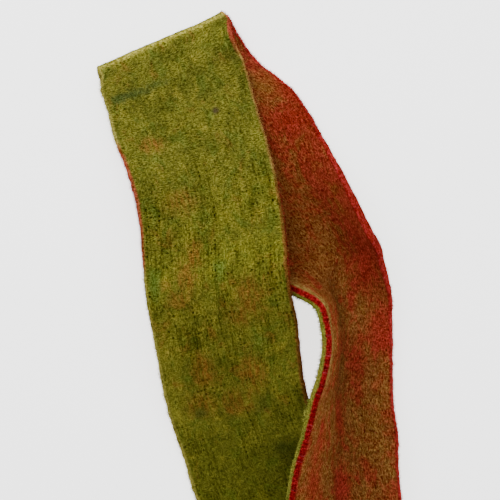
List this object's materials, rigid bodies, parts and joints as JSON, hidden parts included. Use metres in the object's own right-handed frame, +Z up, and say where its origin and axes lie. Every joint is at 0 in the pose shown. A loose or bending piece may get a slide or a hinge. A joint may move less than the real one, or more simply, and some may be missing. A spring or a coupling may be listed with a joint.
{
  "type": "doubled length of felt band",
  "caption": "Cut length of thick two-colour felt band, folded over at one end and lying with one leg turned up on its edge and crossing the other.",
  "frame": {"origin": "centre of the bounding box, on the surface that the band lies on", "axes": "+Y along the band towards its fold, +Z up off the surface, +X towards the leg that is turned up"},
  "size_m": [0.1674, 0.3084, 0.0523],
  "materials": {
    "felt": "mottled olive green on one face and brown-red on the other, matt and fuzzy"
  },
  "bodies": {
    "root": {"felt_band": "felt"}
  },
  "joints": []
}
